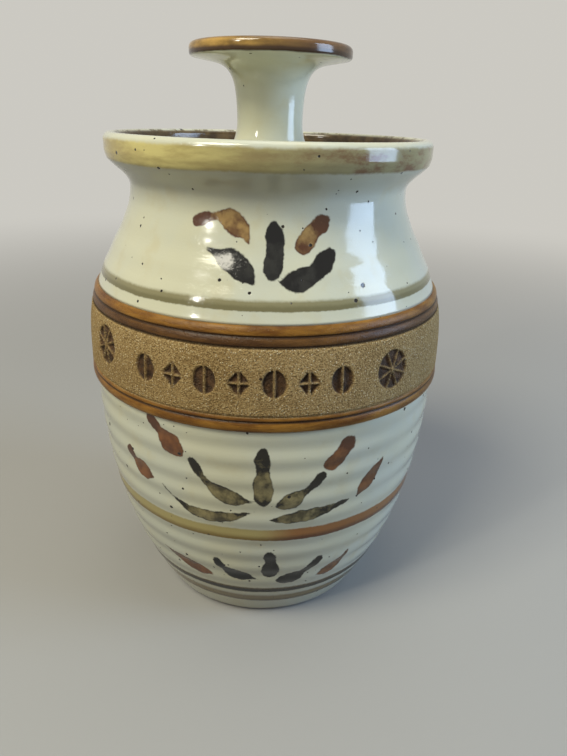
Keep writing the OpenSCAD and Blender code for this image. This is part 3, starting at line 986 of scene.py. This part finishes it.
def knob_glaze():
    f = Finish("cream_knob_glaze")
    colour, specks = speck(f, cream_glaze(f, 60.0), 5.5, 0.45, 0.12, IRON, 19)
    height = f.sum("ADD", f.z, f.swing(1.0, 14, 3.0))
    lip = f.sum("MULTIPLY", f.between(height, KNOB_TOP - 5.3, KNOB_TOP - 4.7),
                f.between(f.radius(), LIP_R - 5.0, LIP_R - 3.6))
    colour = f.over(lip, colour, lip_colour(f, height))
    ripple = f.noise(6, 3.0, stretch=(0.6, 0.6, 1.8))
    gloss = f.between(f.noise(11, 3.0), 0.35, 0.7, 0.09, 0.17)
    f.finish(knob, colour, gloss, sunken(f, specks, f.bump(ripple, 0.22, 0.5)))


knob_glaze()

# %% [markdown]
# ## Floor and backdrop
# A plain pale floor curves up into a wall all round, so that no horizon shows from any side.
# The camera, and what mirrors in the glaze, see it pale. Light that bounces off it finds it
# darker, so that the jar keeps the shade under its rim and towards its foot.

# %% Helper: rays that see the backdrop
FAR_TONE = (0.60, 0.585, 0.54, 1)


def seen_rays(tree):
    """1 for the rays that show the backdrop to the camera, or mirrored in a glaze, else 0."""
    rays = tree.nodes.new("ShaderNodeLightPath")
    total = rays.outputs["Is Camera Ray"]
    for kind in ("Is Glossy Ray", "Is Transmission Ray"):
        both = tree.nodes.new("ShaderNodeMath")
        both.operation, both.use_clamp = "ADD", True
        tree.links.new(total, both.inputs[0])
        tree.links.new(rays.outputs[kind], both.inputs[1])
        total = both.outputs[0]
    return total


def seen_tone(tree, seen, hidden, shown):
    """The tone shown to the rays that see, and the hidden one for the rest."""
    factor, a, b, tone = mix_node(tree, MIX_COLOURS)
    tree.links.new(seen, factor)
    a.default_value, b.default_value = hidden, shown
    return tone


# %% Shape of the floor
FLOOR_R, WALL_RISE, BOWL_R, BOWL_STEPS = 2.6, 0.7, 0.9, 12
FLOOR_Z = -0.0004  # a hair below the foot, so that no two faces lie in one plane
bpy.ops.mesh.primitive_circle_add(vertices=128, radius=FLOOR_R, fill_type="NGON",
                                  location=(0, 0, FLOOR_Z))
floor = bpy.context.object
floor.name = "floor_and_backdrop"
bpy.ops.object.mode_set(mode="EDIT")
bpy.ops.mesh.select_all(action="SELECT")
for step in range(1, BOWL_STEPS + 1):
    a, b = (math.pi / 2 * k / BOWL_STEPS for k in (step - 1, step))
    bpy.ops.mesh.extrude_region_move()
    grown = (FLOOR_R + BOWL_R * math.sin(b)) / (FLOOR_R + BOWL_R * math.sin(a))
    bpy.ops.transform.resize(value=(grown, grown, 1), center_override=(0, 0, 0))
    bpy.ops.transform.translate(value=(0, 0, BOWL_R * (math.cos(a) - math.cos(b))))
bpy.ops.mesh.extrude_region_move(TRANSFORM_OT_translate={"value": (0, 0, WALL_RISE)})
bpy.ops.mesh.delete(type="ONLY_FACE")
bpy.ops.object.mode_set(mode="OBJECT")
bpy.ops.object.shade_smooth()
print("backdrop", len(floor.data.polygons), "faces")

# %% Finish of the floor
FLOOR_BOUNCE, FLOOR_SHOWN = (0.14, 0.13, 0.12, 1), (0.34, 0.335, 0.32, 1)
NEAR_M, FAR_M = 0.15, 1.3
paper = bpy.data.materials.new("pale_floor")
paper.use_nodes = True
paper_tree = paper.node_tree
paper_nodes, paper_links = paper_tree.nodes, paper_tree.links
paper_shader = paper_nodes["Principled BSDF"]
paper_shader.inputs["Roughness"].default_value = 0.9
seen = seen_rays(paper_tree)
paper_links.new(seen_tone(paper_tree, seen, FLOOR_BOUNCE, FLOOR_SHOWN),
                paper_shader.inputs["Base Color"])
spot = paper_nodes.new("ShaderNodeTexCoord")
length = paper_nodes.new("ShaderNodeVectorMath")
length.operation = "LENGTH"
paper_links.new(spot.outputs["Object"], length.inputs[0])
away = paper_nodes.new("ShaderNodeMapRange")
away.interpolation_type = "SMOOTHSTEP"
away.inputs["From Min"].default_value, away.inputs["From Max"].default_value = NEAR_M, FAR_M
paper_links.new(length.outputs["Value"], away.inputs["Value"])
far_seen = paper_nodes.new("ShaderNodeMath")
far_seen.operation = "MULTIPLY"
paper_links.new(away.outputs[0], far_seen.inputs[0])
paper_links.new(seen, far_seen.inputs[1])
paper_glow = paper_nodes.new("ShaderNodeEmission")
paper_glow.inputs["Color"].default_value = FAR_TONE
paper_mix = paper_nodes.new("ShaderNodeMixShader")
for source, socket in zip((far_seen, paper_shader, paper_glow), paper_mix.inputs):
    paper_links.new(source.outputs[0], socket)
paper_links.new(paper_mix.outputs[0], paper_nodes["Material Output"].inputs["Surface"])
floor.data.materials.append(paper)
print("the floor fades to its far tone between", NEAR_M, "and", FAR_M, "m")

# %% [markdown]
# ## Light
# Soft lamps and a dim room show the shape without a mood of their own. A broad lamp high on
# the left lights the jar, and a wide one overhead fills in. A small one on the left only
# makes sparks of light in the glaze. The tall bluish one on the right stands for a window,
# whose reflection runs down the shoulder.

# %% Room
ROOM_TONE = (0.153, 0.151, 0.143, 1)
world = bpy.data.worlds.new("soft_room")
bpy.context.scene.world = world
world.use_nodes = True
room = world.node_tree
room.links.new(seen_tone(room, seen_rays(room), ROOM_TONE, FAR_TONE),
               room.nodes["Background"].inputs["Color"])
print("room", len(room.nodes), "nodes")


# %% Lamps
def soft_lamp(name, place, target, width, height, power, tint):
    bpy.ops.object.light_add(type="AREA", location=place)
    lamp = bpy.context.object
    lamp.name = name
    lamp.rotation_euler = (Vector(target) - Vector(place)).to_track_quat("-Z", "Y").to_euler()
    lamp.data.shape, lamp.data.size, lamp.data.size_y = "RECTANGLE", width, height
    lamp.data.energy, lamp.data.color = power, tint
    print(name, power, "W,", round(math.dist(place, target), 2), "m away")


# Place, target, width and height in metres, power in watts, tint.
soft_lamp("lamp_key", (-0.60, -0.60, 1.25), (0, 0, 0.14), 0.55, 0.55, 16.2, (1, 0.955, 0.79))
soft_lamp("lamp_ceiling", (0.1, 0.1, 1.5), (0, 0, 0.15), 0.9, 0.9, 5.0, (1, 0.98, 0.92))
soft_lamp("lamp_left", (-0.72, -0.68, 0.62), (0, 0, 0.18), 0.07, 0.14, 2.2, (1, 0.99, 0.93))
soft_lamp("lamp_window", (1.0, -0.22, 0.43), (0, 0, 0.18), 0.46, 0.70, 9.4, (0.54, 0.72, 1))

# %% [markdown]
# ## Clear the selection

# %% Clear the selection
bpy.ops.object.select_all(action="DESELECT")
